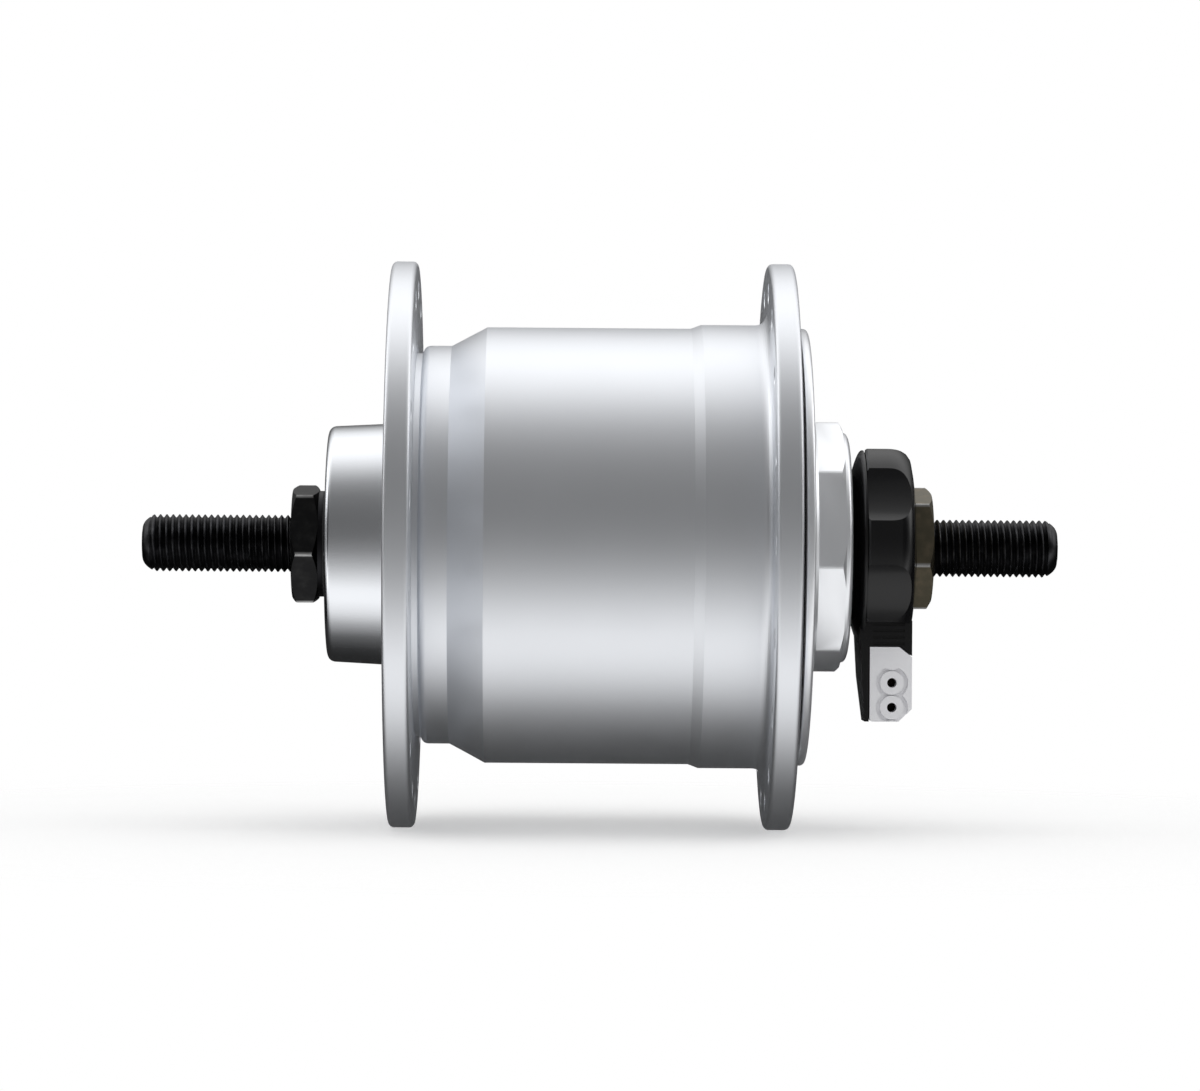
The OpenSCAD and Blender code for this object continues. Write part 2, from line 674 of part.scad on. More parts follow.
module terminal_housing() color("#1b1b1d") {
    disc_r = cap_d / 2 - 0.3;
    disc_end = disc_x + disc_t;
    disc_bore_r = axle_r + plastic_play;
    curve_h = 1.3;
    curve_w = 4.9;
    curve_power = 1.6;
    rib_x0 = connector_x + 0.5;
    rib_x1 = connector_end_x - 1.2;
    rib_pitch = shoulder_h / 4;
    rib_groove = 0.45 * rib_pitch;
    rib_depth = 0.5;
    slot_foot_z = wire_end_z - wire_r - wire_fit;
    difference() {
        union() {
            lathe() polygon(concat(
                [[disc_bore_r, disc_x]],
                [for (i = [0:7]) let (t = i / 8)
                 [disc_r - curve_w * pow(1 - t, curve_power), disc_x + curve_h * t]],
                [[disc_r, disc_x + curve_h], [disc_r, disc_end], [disc_bore_r, disc_end]]));
            intersection() {
                slab(arm_w)
                    polygon([[arm_root_x, arm_root_z], [wall_face_x - arm_tip_wall, arm_bottom_z],
                             [wall_face_x, arm_bottom_z], [wall_face_x, shoulder_z],
                             [connector_end_x - corner_w, shoulder_z],
                             [connector_end_x, shoulder_z - corner_h], [connector_end_x, arm_top_z],
                             [disc_end, arm_top_z], [disc_end, arm_root_z]]);
                side_outline(disc_x, connector_end_x + 1);
            }
        }
        for (i = [1:4])
            translate([rib_x0, -arm_w / 2 - 1, arm_top_z - i * rib_pitch + rib_groove / 2])
                cube([rib_x1 - rib_x0, 1 + rib_depth, rib_groove]);
        translate([wire_slot_x, -groove_w / 2, slot_foot_z])
            cube([2 * (wire_r + wire_fit), groove_w, -core_r - slot_foot_z]);
        for (y = [-wire_y, wire_y]) {
            translate([wire_down_x, y, wire_end_z]) rotate([0, 90, 0])
                cylinder(r = wire_r + wire_fit, h = blade_x - wire_down_x, $fn = 32);
            blade_solid(y, plastic_play / 2);
        }
    }
}

// A blade that stands in the shoulder and reaches into the connector
module blade_solid(y, grow)
    translate([blade_x - grow, y - blade_t / 2 - grow, blade_foot_z - grow])
        cube([blade_w + 2 * grow, blade_t + 2 * grow, blade_top_z - blade_foot_z + 2 * grow]);

module terminal_blades() color("#c9a24a")
    for (y = [-wire_y, wire_y]) blade_solid(y, 0);

// A socket's sleeve with the leaf that presses on its blade
module contact_solid(z, y, grow) {
    side = sign(y);
    leaf_y = y + side * (blade_t / 2 + slide_play);
    back_y = -arm_w / 2 + socket_depth;
    translate([socket_x, -arm_w / 2 + sleeve_start - grow, z]) rotate([-90, 0, 0])
        cylinder(r = sleeve_r + grow, h = socket_depth - sleeve_start + leaf_t + grow, $fn = 32);
    translate([socket_x - leaf_w / 2 - grow, back_y - grow, z - leaf_t - grow])
        cube([leaf_w + 2 * grow, leaf_y + leaf_t - back_y + 2 * grow, 2 * leaf_t + 2 * grow]);
    translate([socket_x - leaf_w / 2 - grow, min(leaf_y, leaf_y + side * leaf_t) - grow,
               z - leaf_t - grow])
        cube([leaf_w + 2 * grow, leaf_t + 2 * grow, leaf_top_z - z + leaf_t + 2 * grow]);
}

module connector_contacts() color("#d0a94f")
    for (pair = [[upper_socket_z, -wire_y], [lower_socket_z, wire_y]])
        difference() {
            contact_solid(pair[0], pair[1], 0);
            translate([socket_x, -arm_w / 2, pair[0]]) rotate([-90, 0, 0])
                cylinder(r = sleeve_bore_r, h = socket_depth, $fn = 32);
        }

module connector_block() color("#b9babd")
    difference() {
        intersection() {
            slab(arm_w)
                polygon([[connector_x, connector_top_z],
                         [connector_end_x - corner_w - slide_play, connector_top_z],
                         [connector_end_x, connector_top_z - corner_h - slide_play],
                         [connector_end_x, arm_bottom_z + foot_chamfer],
                         [connector_end_x - foot_chamfer, arm_bottom_z],
                         [connector_x + 0.4, arm_bottom_z], [connector_x, arm_bottom_z + 0.4]]);
            side_outline(connector_x - 1, connector_end_x + 1);
        }
        for (z = [upper_socket_z, lower_socket_z]) translate([socket_x, -arm_w / 2, z])
            rotate([-90, 0, 0]) {
                difference() {
                    translate([0, 0, -1]) cylinder(r = ring_r, h = ring_depth + 1);
                    for (other = [0, socket_pitch, -socket_pitch]) translate([0, other, -2])
                        cylinder(r = collar_r, h = 4);
                }
                translate([0, 0, -1]) cylinder(r = socket_d / 2, h = socket_depth + 1, $fn = 32);
            }
        contact_solid(upper_socket_z, -wire_y, plastic_play / 2);
        contact_solid(lower_socket_z, wire_y, plastic_play / 2);
        for (y = [-wire_y, wire_y]) blade_slot(y);
    }

// The slot that a blade slides in, open at the connector's top
module blade_slot(y)
    translate([blade_x - slide_play, y - blade_t / 2 - slide_play, blade_foot_z - 2 * slide_play])
        cube([blade_w + 2 * slide_play, blade_t + 2 * slide_play, arm_reach]);

// A straight stretch of wire between two points
module stretch(a, b) {
    d = b - a;
    translate(a) rotate([0, acos(d[2] / norm(d)), atan2(d[1], d[0])])
        cylinder(r = wire_r, h = norm(d), $fn = 24);
}

// A quarter bend from direction u to direction v, round the corner p
module bend(p, u, v) {
    c = p + (v - u) * wire_bend;
    w = cross(-v, u);
    multmatrix([[-v[0], u[0], w[0], c[0]], [-v[1], u[1], w[1], c[1]], [-v[2], u[2], w[2], c[2]]])
        rotate_extrude(angle = 90) translate([wire_bend, 0]) circle(wire_r, $fn = 24);
}

// A wire along corners that are square to each other
module wire(path) {
    last = len(path) - 1;
    dirs = [for (i = [0:last - 1]) (path[i + 1] - path[i]) / norm(path[i + 1] - path[i])];
    for (i = [0:last - 1])
        stretch(path[i] + (i == 0 ? 0 : wire_bend) * dirs[i],
                path[i + 1] - (i == last - 1 ? 0 : wire_bend) * dirs[i]);
    for (i = [1:last - 1]) bend(path[i], dirs[i - 1], dirs[i]);
}

module lead_wires() color("#7a2f2a")
    for (y = [-wire_y, wire_y])
        wire([[stator_x + bobbin_end, y, wire_exit_z], [wire_drop_x, y, wire_exit_z],
              [wire_drop_x, y, groove_z], [wire_down_x, y, groove_z],
              [wire_down_x, y, wire_end_z], [blade_x, y, wire_end_z]]);

axle();
left_lock_nut();
left_washer();
left_cone();
left_dust_seal();
stator_core();
left_claw_pole();
right_claw_pole();
coil_bobbin();
coil_winding();
left_pole_nut();
right_pole_nut();
lead_wires();
right_cone();
right_dust_seal();
terminal_housing();
terminal_blades();
terminal_cap();
right_washer();
right_lock_nut();
hub_shell();
left_bearing_cup();
left_dust_cap();
back_iron_ring();
magnet_segments();
side_cover();
cover_o_ring();
right_bearing_cup();
right_dust_cap();
left_bearing_balls();
left_ball_cage();
right_bearing_balls();
right_ball_cage();
connector_block();
connector_contacts();
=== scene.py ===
"""Looks of a front wheel hub with a generator inside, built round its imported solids."""

import json
import math

import bmesh
import bpy
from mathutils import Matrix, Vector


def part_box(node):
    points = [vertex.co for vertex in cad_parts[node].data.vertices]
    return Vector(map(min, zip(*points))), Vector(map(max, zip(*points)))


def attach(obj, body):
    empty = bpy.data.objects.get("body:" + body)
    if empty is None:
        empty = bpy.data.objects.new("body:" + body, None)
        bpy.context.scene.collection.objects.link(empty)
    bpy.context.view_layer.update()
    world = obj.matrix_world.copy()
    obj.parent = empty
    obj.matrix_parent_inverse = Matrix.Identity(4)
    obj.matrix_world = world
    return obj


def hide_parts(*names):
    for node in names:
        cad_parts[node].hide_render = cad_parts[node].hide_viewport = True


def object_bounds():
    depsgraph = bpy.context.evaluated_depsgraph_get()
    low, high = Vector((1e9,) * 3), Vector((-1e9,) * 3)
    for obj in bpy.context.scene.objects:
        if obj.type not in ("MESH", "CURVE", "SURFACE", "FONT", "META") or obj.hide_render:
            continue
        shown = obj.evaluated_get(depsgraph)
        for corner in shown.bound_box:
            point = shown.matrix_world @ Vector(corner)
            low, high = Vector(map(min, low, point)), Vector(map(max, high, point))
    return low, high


bl_info = {
    "name": "Hub dynamo",
    "version": (1, 0, 0),
    "blender": (4, 5, 0),
    "location": "3D View > Sidebar > Hub dynamo",
    "description": "Finishes the shell, axle, bearings, generator and terminal of a hub dynamo",
    "category": "Object",
}

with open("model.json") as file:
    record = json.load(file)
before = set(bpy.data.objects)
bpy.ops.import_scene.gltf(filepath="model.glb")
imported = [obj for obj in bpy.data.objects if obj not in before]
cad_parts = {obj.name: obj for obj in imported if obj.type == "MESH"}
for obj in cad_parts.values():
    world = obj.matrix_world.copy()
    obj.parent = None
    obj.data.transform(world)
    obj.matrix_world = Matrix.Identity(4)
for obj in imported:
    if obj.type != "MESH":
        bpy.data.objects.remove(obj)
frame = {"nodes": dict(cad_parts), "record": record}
CAD_BOX = [list(corner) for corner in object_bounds()]
AXLE_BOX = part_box("axle")
LEFT_NUT_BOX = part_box("left_lock_nut")
RIGHT_NUT_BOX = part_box("right_lock_nut")
SHELL_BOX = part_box("hub_shell")
MM = 0.001
HUB_MIDDLE = 50 * MM
BOSS_LENGTH = 9.7 * MM
NUT_CORNER_RADIUS = 9.78 * MM
RINGS_A_TURN = 8
POINTS_ROUND = 65
SHARP_EDGE = math.radians(25)
SHARP_THREAD_EDGE = math.radians(40)

# For each node, pairs of a place in the solid and the place that it gets, in millimetres, along the
# axle, up, or out from the axle. One nut is turned about the axle instead.
REFITS = {
    "side_cover": {"along": [(80.3, 80.3), (85.3, 85.8), (87.5, 86.9)]},
    "right_dust_cap": {"along": [(86.5, 85.9)]},
    "right_dust_seal": {"along": [(86.5, 85.9)]},
    "right_cone": {"along": [(84.0, 84.0), (87.7, 87.1)]},
    "terminal_housing": {"along": [(87.8, 87.2), (89.3, 89.3), (89.95, 90.15)],
                         "up": [(-27.3, -27.0), (-18.8, -18.5), (-16.0, -15.4), (-11.2, -11.2)]},
    "terminal_blades": {"along": [(91.9, 92.1)]},
    "terminal_cap": {"out": [(9.5, 9.5), (11.5, 12.3), (13.4, 14.1), (14.7, 15.1), (15.6, 16.0)]},
    "connector_block": {"along": [(89.95, 90.15)],
                        "up": [(-27.3, -27.0), (-18.8, -18.5), (-16.0, -15.4)]},
    "connector_contacts": {"along": [(92.25, 92.45)], "up": [(-26.25, -25.95)]},
    "left_lock_nut": {"along": [(0.0, 0.0), (3.8, 4.15)]},
    "left_washer": {"along": [(3.8, 4.15), (4.8, 4.9)]},
    "right_lock_nut": {"turn": math.radians(-3.0)},
}


class Wire:
    """An output in a node tree. Python's operators on it add the maths nodes."""

    def __init__(self, tree, socket):
        self.tree = tree
        self.socket = socket

    def node(self, kind, inputs=(), output=0, **settings):
        return add_node(self.tree, kind, inputs, output, **settings)

    def maths(self, operation, *others):
        return self.node("ShaderNodeMath", [(0, self), *enumerate(others, 1)], operation=operation)

    def __add__(self, other):
        return self.maths("ADD", other)

    def __sub__(self, other):
        return self.maths("SUBTRACT", other)

    def __mul__(self, other):
        return self.maths("MULTIPLY", other)

    def __truediv__(self, other):
        return self.maths("DIVIDE", other)

    def __rsub__(self, other):
        return self.maths("MULTIPLY", -1) + other

    def __abs__(self):
        return self.maths("ABSOLUTE")

    def __gt__(self, other):
        return self.maths("GREATER_THAN", other)

    def __lt__(self, other):
        return self.maths("LESS_THAN", other)

    def __pow__(self, other):
        return self.maths("POWER", other)

    __radd__ = __add__
    __rmul__ = __mul__

    def lowest(self, other):
        return self.maths("MINIMUM", other)

    def highest(self, other):
        return self.maths("MAXIMUM", other)

    def fraction(self):
        return self.maths("FRACT")

    def parts(self):
        """The three numbers that a place is made of."""
        first = self.node("ShaderNodeSeparateXYZ", [(0, self)])
        return [Wire(self.tree, output) for output in first.socket.node.outputs]

    def limited(self):
        """The value kept between 0 and 1."""
        return self.lowest(1.0).highest(0.0)


def add_node(tree, kind, inputs=(), output=0, **settings):
    """Adds a node, sets it up, plugs values or wires into its inputs, and returns one output."""
    node = tree.nodes.new(kind)
    for name, value in settings.items():
        setattr(node, name, value)
    for key, value in inputs:
        if isinstance(value, Wire):
            tree.links.new(value.socket, node.inputs[key])
        else:
            node.inputs[key].default_value = value
    return Wire(tree, node.outputs[output])


def colour(red, green, blue):
    return (red, green, blue, 1.0)


def grey(tone):
    return colour(tone, tone, tone)


def material_slots():
    """The material slot of each node."""
    return {part["node"]: part["material_slot"] for part in frame["record"]["subparts"]}


# Materials


def plain_material(name, base, metallic, roughness, **sockets):
    """A material that is the same all over. More sockets go by their names, with _ for a space."""
    material = bpy.data.materials.new(name)
    material.use_nodes = True
    shader = material.node_tree.nodes["Principled BSDF"]
    shader.inputs["Base Color"].default_value = base
    shader.inputs["Metallic"].default_value = metallic
    shader.inputs["Roughness"].default_value = roughness
    for key, value in sockets.items():
        shader.inputs[key.replace("_", " ")].default_value = value
    material.diffuse_color = base
    return material, material.node_tree, shader


def object_place(tree):
    return add_node(tree, "ShaderNodeTexCoord", output="Object")


def grain(tree, size, detail=2.0):
    """Soft noise whose spots are about size metres wide."""
    place = object_place(tree)
    inputs = [("Vector", place), ("Scale", 1.0 / size), ("Detail", detail)]
    return place.node("ShaderNodeTexNoise", inputs)


def between(share, low, high):
    """A number that goes from low to high as share goes from 0 to 1."""
    return share * (high - low) + low


def bump(tree, shader, height, depth):
    """Lets a height between 0 and 1 tilt the surface as if it were that deep."""
    normal = height.node("ShaderNodeBump", [("Height", height), ("Strength", 1.0), ("Distance", depth)])
    tree.links.new(normal.socket, shader.inputs["Normal"])


def mixed_colour(share, first, second):
    """A colour that goes from first to second. Each is a wire or four numbers."""
    factor, first_colour, second_colour, colour_result = 0, 6, 7, 2
    inputs = [(factor, share), (first_colour, first), (second_colour, second)]
    return share.node("ShaderNodeMix", inputs, output=colour_result, data_type="RGBA")


def axle_place(tree):
    """Place along the axle."""
    return object_place(tree).parts()[0]


def axle_radius(tree):
    """Distance from the axle's axis."""
    _, y, z = object_place(tree).parts()
    return (y * y + z * z) ** 0.5


def satin_aluminium(name, base, metallic, roughness, turned_to=None):
    """Blasted aluminium with an anodised skin, turned bright up to the place turned_to along the axle."""
    turned_share = 0.5
    variation = 0.02
    material, tree, shader = plain_material(name, base, metallic, roughness)
    fine = grain(tree, 0.25 * MM)
    wide = grain(tree, 9 * MM)
    spread = between(wide, roughness - variation, roughness + variation)
    if turned_to is not None:
        turned = axle_place(tree) < turned_to
        spread = spread * between(turned, 1.0, turned_share)
        tree.links.new(between(turned, metallic, 1.0).socket, shader.inputs["Metallic"])
    tree.links.new(spread.socket, shader.inputs["Roughness"])
    bump(tree, shader, fine, 0.006 * MM)
    return material


def turned_steel(name, base, roughness):
    """Steel with fine rings left by a lathe, all round the axle."""
    line_width = 0.3 * MM
    material, tree, shader = plain_material(name, base, 1.0, roughness)
    place = (axle_radius(tree) + axle_place(tree)) / line_width
    rings = place.node("ShaderNodeTexNoise", [("W", place), ("Scale", 1.0)], noise_dimensions="1D")
    bump(tree, shader, rings, 0.008 * MM)
    return material


def black_steel(name, base, roughness, worn, corner=None):
    """Blackened steel, a little brighter where it has rubbed, and light grey along corners at that radius,
    which is partly bare worn steel and partly a painted highlight of the chamfers.
    """
    corner_width = 0.2 * MM
    material, tree, shader = plain_material(name, base, 1.0, roughness)
    patches = grain(tree, 1.6 * MM, 4.0)
    worn_share = between(patches, -0.8, 1.6).limited() ** 2.0
    tone = mixed_colour(worn_share, base, worn)
    if corner is not None:
        # Painted highlight and wear: the corners at that radius turn light grey, partly as bare steel and
        # partly standing in for the glint of their chamfers.
        corner_wear_and_glint = ((axle_radius(tree) - corner) / corner_width + 1.0).limited()
        tone = mixed_colour(corner_wear_and_glint * between(patches, 0.5, 1.3).limited(), tone, grey(0.8))
    tree.links.new(tone.socket, shader.inputs["Base Color"])
    spread = between(patches, roughness - 0.08, roughness + 0.1)
    tree.links.new(spread.socket, shader.inputs["Roughness"])
    bump(tree, shader, grain(tree, 0.4 * MM), 0.01 * MM)
    return material


def brass_with_painted_socket_shade(name, base, roughness):
    """Brass with painted shade inside the wire sockets, black where it lies deep in the holes, and random
    patches of slight tarnish all over.
    """
    sockets_end_y = -2.52 * MM
    shade_and_tarnish_black = colour(0.012, 0.01, 0.008)
    material, tree, shader = plain_material(name, base, 1.0, roughness)
    patches = grain(tree, 0.8 * MM, 4.0)
    y = object_place(tree).parts()[1]
    # Painted shade: black wherever the brass lies inside the wire sockets, deep in the holes; the random
    # patches add a little tarnish.
    socket_shade_and_tarnish = (y < sockets_end_y).highest(patches * 0.3)
    tone = mixed_colour(socket_shade_and_tarnish, base, shade_and_tarnish_black)
    tree.links.new(tone.socket, shader.inputs["Base Color"])
    bump(tree, shader, patches, 0.004 * MM)
    return material


def moulded_plastic(name, base, roughness, texture, **sockets):
    """Moulded plastic with a skin texture of that depth."""
    material, tree, shader = plain_material(name, base, 0.0, roughness, **sockets)
    bump(tree, shader, grain(tree, 0.35 * MM), texture)
    return material


def pressed_iron(name, base, roughness):
    """Iron with the uneven skin of a press."""
    material, tree, shader = plain_material(name, base, 1.0, roughness)
    patches = grain(tree, 3 * MM, 5.0)
    spread = between(patches, roughness - 0.1, roughness + 0.1)
    tree.links.new(spread.socket, shader.inputs["Roughness"])
    bump(tree, shader, patches, 0.02 * MM)
    return material


def wound_copper(name, base):
    """Enamelled wire, lying in turns along the axle."""
    wire_width = 0.5 * MM
    material, tree, shader = plain_material(name, base, 1.0, 0.35, Coat_Weight=0.4)
    turn = (axle_place(tree) / wire_width).fraction() * 2.0 - 1.0
    bump(tree, shader, (1.0 - turn * turn).highest(0.0) ** 0.5, 0.2 * MM)
    return material


def make_materials(finish):
    """One material for each slot of the record, in place of the plain ones that the solids came with."""
    for plain in list(bpy.data.materials):
        bpy.data.materials.remove(plain)
    made = [
        satin_aluminium("shell_aluminium", colour(*finish.shell_colour), 0.94,
                        finish.shell_roughness, turned_to=SHELL_BOX[0].x + BOSS_LENGTH),
        satin_aluminium("cover_aluminium", colour(*finish.cover_colour), 0.8,
                        finish.shell_roughness - 0.08),
        black_steel("axle_steel", colour(0.03, 0.03, 0.032), 0.3, colour(0.09, 0.09, 0.095)),
        black_steel("black_nut_steel", colour(0.026, 0.026, 0.027), 0.3, grey(0.045),
                    corner=NUT_CORNER_RADIUS),
        black_steel("bronze_nut_steel", colour(0.17, 0.153, 0.108), 0.3, colour(0.26, 0.215, 0.15),
                    corner=NUT_CORNER_RADIUS),
        turned_steel("dark_washer_steel", colour(0.022, 0.022, 0.024), 0.32),
        turned_steel("bearing_steel", colour(0.62, 0.63, 0.65), 0.12),
        turned_steel("cap_steel", colour(0.52, 0.53, 0.55), 0.28),
        moulded_plastic("seal_rubber", colour(0.015, 0.015, 0.017), 0.6, 0.01 * MM),
        moulded_plastic("cage_plastic", colour(0.62, 0.52, 0.34), 0.45, 0.005 * MM),
        pressed_iron("pole_steel", colour(0.33, 0.34, 0.36), 0.4),
        pressed_iron("ring_iron", colour(0.28, 0.29, 0.31), 0.38),
        moulded_plastic("magnet", colour(0.06, 0.06, 0.065), 0.55, 0.02 * MM),
        moulded_plastic("bobbin_plastic", colour(0.8, 0.77, 0.66), 0.5, 0.004 * MM),
        wound_copper("coil_copper", colour(0.62, 0.28, 0.12)),
        moulded_plastic("wire_cover", colour(0.3, 0.05, 0.04), 0.45, 0.004 * MM),
        moulded_plastic("cap_plastic", colour(*finish.plastic_colour), 0.2, 0.003 * MM,
                        Specular_IOR_Level=0.4),
        moulded_plastic("housing_plastic", colour(*finish.plastic_colour), 0.24, 0.006 * MM,
                        Specular_IOR_Level=0.4),
        moulded_plastic("connector_plastic", colour(*finish.connector_colour), 0.5, 0.012 * MM),
        brass_with_painted_socket_shade("contact_brass", colour(0.7, 0.52, 0.22), 0.22),
    ]
    return {material.name: material for material in made}


# Settings that a user may change


class HubFinishSettings(bpy.types.PropertyGroup):
    shell_colour: bpy.props.FloatVectorProperty(
        name="Shell", description="Colour of the anodised shell",
        subtype="COLOR", size=3, min=0, max=1, default=(0.86, 0.88, 0.915))
    cover_colour: bpy.props.FloatVectorProperty(
        name="Side cover", description="Colour of the side cover",
        subtype="COLOR", size=3, min=0, max=1, default=(0.92, 0.935, 0.96))
    shell_roughness: bpy.props.FloatProperty(
        name="Shell roughness", description="How far the satin finish spreads a reflection",
        min=0.1, max=0.8, default=0.38, subtype="FACTOR")
    plastic_colour: bpy.props.FloatVectorProperty(
        name="Terminal", description="Colour of the terminal's cap and housing",
        subtype="COLOR", size=3, min=0, max=1, default=(0.004, 0.004, 0.0045))
    connector_colour: bpy.props.FloatVectorProperty(
        name="Connector", description="Colour of the wire connector",
        subtype="COLOR", size=3, min=0, max=1, default=(0.79, 0.79, 0.81))


class HubThreadSettings(bpy.types.PropertyGroup):
    pitch: bpy.props.FloatProperty(
        name="Pitch", description="Distance from one turn of the axle's thread to the next",
        min=0.0005, max=0.002, default=1.0 * MM, unit="LENGTH", precision=5)
    depth: bpy.props.FloatProperty(
        name="Depth", description="Depth of the axle's thread",
        min=0.0001, max=0.001, default=0.52 * MM, unit="LENGTH", precision=5)
    tip_depth: bpy.props.FloatProperty(
        name="Tip depth", description="How far the rounding at the axle's tips goes in",
        min=0.0001, max=0.002, default=2.2 * MM, unit="LENGTH", precision=5)
    tip_length: bpy.props.FloatProperty(
        name="Tip length", description="How long the rounding at the axle's tips is",
        min=0.0001, max=0.004, default=1.9 * MM, unit="LENGTH", precision=5)


class HubStageSettings(bpy.types.PropertyGroup):
    camera_place: bpy.props.FloatVectorProperty(
        name="Camera", description="Where the camera stands",
        subtype="TRANSLATION", size=3, default=(41.1 * MM, -757 * MM, 0.0))
    frame_width: bpy.props.FloatProperty(
        name="Frame width", description="Width of the picture in the plane of the axle",
        min=0.05, max=1.0, default=188.4 * MM, unit="LENGTH")
    frame_centre: bpy.props.FloatProperty(
        name="Frame centre", description="Place along the axle at the middle of the picture",
        default=48.16 * MM, unit="LENGTH")
    camera_roll: bpy.props.FloatProperty(
        name="Roll", description="Turn of the camera about its own view",
        default=math.radians(-0.42), subtype="ANGLE")
    surround: bpy.props.FloatProperty(
        name="Surround", description="Strength of the white surround's light",
        min=0, max=2, default=0.75, subtype="FACTOR")
    overhead: bpy.props.FloatProperty(
        name="Overhead lamp", description="Power of the wide lamp above",
        min=0, max=20, default=4.5, unit="POWER")
    tent: bpy.props.FloatProperty(
        name="Tent", description="Brightness of the tent's white panels, which the metal reflects",
        min=0, max=2, default=1.05, subtype="FACTOR")


# Meshes


def new_piece(name, mesh, body, slot, *replaced):
    """Puts a finished mesh in the scene as a piece of the hub, in place of a solid."""
    piece = bpy.data.objects.new(name, mesh)
    bpy.context.scene.collection.objects.link(piece)
    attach(piece, body)
    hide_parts(*replaced)


def thread_tree():
    """Geometry Nodes for a threaded rod along the axle, with closed ends, the first one rounded."""
    crest_share = 0.125
    tip_roundness = 0.45
    weld = 1e-6
    tree = bpy.data.node_groups.new("Threaded rod", "GeometryNodeTree")
    interface = tree.interface
    sizes = ("Start", "Length", "Pitch", "Crest radius", "Root radius", "Tip radius", "Tip length")
    interface.new_socket("Rod", in_out="OUTPUT", socket_type="NodeSocketGeometry")
    for name in sizes:
        interface.new_socket(name, in_out="INPUT", socket_type="NodeSocketFloat")
    interface.new_socket("Direction", in_out="INPUT", socket_type="NodeSocketFloat")
    interface.new_socket("Rings", in_out="INPUT", socket_type="NodeSocketInt")
    interface.new_socket("Points round", in_out="INPUT", socket_type="NodeSocketInt")
    interface.new_socket("Material", in_out="INPUT", socket_type="NodeSocketMaterial")
    entry = tree.nodes.new("NodeGroupInput")
    value = {socket.name: Wire(tree, socket) for socket in entry.outputs if socket.name}

    grid = add_node(tree, "GeometryNodeMeshGrid",
                    [("Size X", 1.0), ("Size Y", 1.0),
                     ("Vertices X", value["Rings"]), ("Vertices Y", value["Points round"])], output="Mesh")
    x, y, _ = add_node(tree, "GeometryNodeInputPosition").parts()
    ring = (x + 0.5) * (value["Rings"] - 1.0)
    round_share = y + 0.5
    turns = (ring - 1.0) / RINGS_A_TURN
    along = (turns + round_share - 1.0) * value["Pitch"]
    along = along.highest(0.0).lowest(value["Length"])
    from_crest = abs(turns.fraction() - 0.5) * 2.0
    flank = ((from_crest - crest_share) / (1.0 - 2.0 * crest_share)).limited()
    radius = value["Crest radius"] - flank * (value["Crest radius"] - value["Root radius"])
    tip_share = (along / value["Tip length"]).limited() ** tip_roundness
    tip_rise = value["Crest radius"] - value["Tip radius"]
    radius = radius.lowest(value["Tip radius"] + tip_share * tip_rise)
    radius = radius.lowest(value["Root radius"] + value["Length"] - along)
    between_ends = (ring > 0.5) * (ring < (value["Rings"] - 1.5))
    radius = radius * between_ends
    angle = round_share * (2 * math.pi)
    moved = x.node("ShaderNodeCombineXYZ", [
        (0, value["Start"] + along * value["Direction"]),
        (1, radius * angle.maths("COSINE") * value["Direction"]),
        (2, radius * angle.maths("SINE"))])
    shaped = grid.node("GeometryNodeSetPosition", [("Geometry", grid), ("Position", moved)])
    joined = shaped.node("GeometryNodeMergeByDistance", [("Geometry", shaped), ("Distance", weld)])
    real = joined.node("GeometryNodeRealizeInstances", [("Geometry", joined)])
    final = real.node("GeometryNodeSetMaterial", [("Geometry", real), ("Material", value["Material"])])
    leave = tree.nodes.new("NodeGroupOutput")
    tree.links.new(final.socket, leave.inputs["Rod"])
    return tree


def mesh_from_tree(name, tree, inputs):
    """Runs a Geometry Nodes tree on an empty mesh and returns the result as a plain mesh."""
    holder = bpy.data.objects.new(name, bpy.data.meshes.new(name))
    bpy.context.scene.collection.objects.link(holder)
    modifier = holder.modifiers.new(name, "NODES")
    modifier.node_group = tree
    for item in tree.interface.items_tree:
        if item.item_type == "SOCKET" and item.in_out == "INPUT" and item.name in inputs:
            modifier[item.identifier] = inputs[item.name]
    depsgraph = bpy.context.evaluated_depsgraph_get()
    mesh = bpy.data.meshes.new_from_object(holder.evaluated_get(depsgraph))
    mesh.name = name
    bpy.data.objects.remove(holder)
    return mesh


def joined_mesh(name, *meshes):
    """One mesh out of several that share the first one's material."""
    work = bmesh.new()
    for mesh in meshes:
        work.from_mesh(mesh)
    bmesh.ops.recalc_face_normals(work, faces=work.faces)
    result = bpy.data.meshes.new(name)
    work.to_mesh(result)
    work.free()
    for material in meshes[0].materials:
        result.materials.append(material)
    return result


def rod(name, start, end, radius):
    """A plain round rod along the axle."""
    sides = 96
    angles = [2 * math.pi * i / sides for i in range(sides)]
    points = [(x, radius * math.cos(angle), radius * math.sin(angle))
              for x in (start, end) for angle in angles]
    faces = [(i, (i + 1) % sides, sides + (i + 1) % sides, sides + i) for i in range(sides)]
    faces += [tuple(range(sides))[::-1], tuple(range(sides, 2 * sides))]
    mesh = bpy.data.meshes.new(name)
    mesh.from_pydata(points, [], faces)
    return mesh


def moved_along(place, stops):
    """A place moved as the stops say, which are pairs of old and new places in rising order."""
    place_before, shift_before = stops[0][0], stops[0][1] - stops[0][0]
    if place <= place_before:
        return place + shift_before
    for old, new in stops[1:]:
        shift = new - old
        if place <= old:
            share = (place - place_before) / (old - place_before)
            return place + shift_before + share * (shift - shift_before)
        place_before, shift_before = old, shift
    return place + shift_before


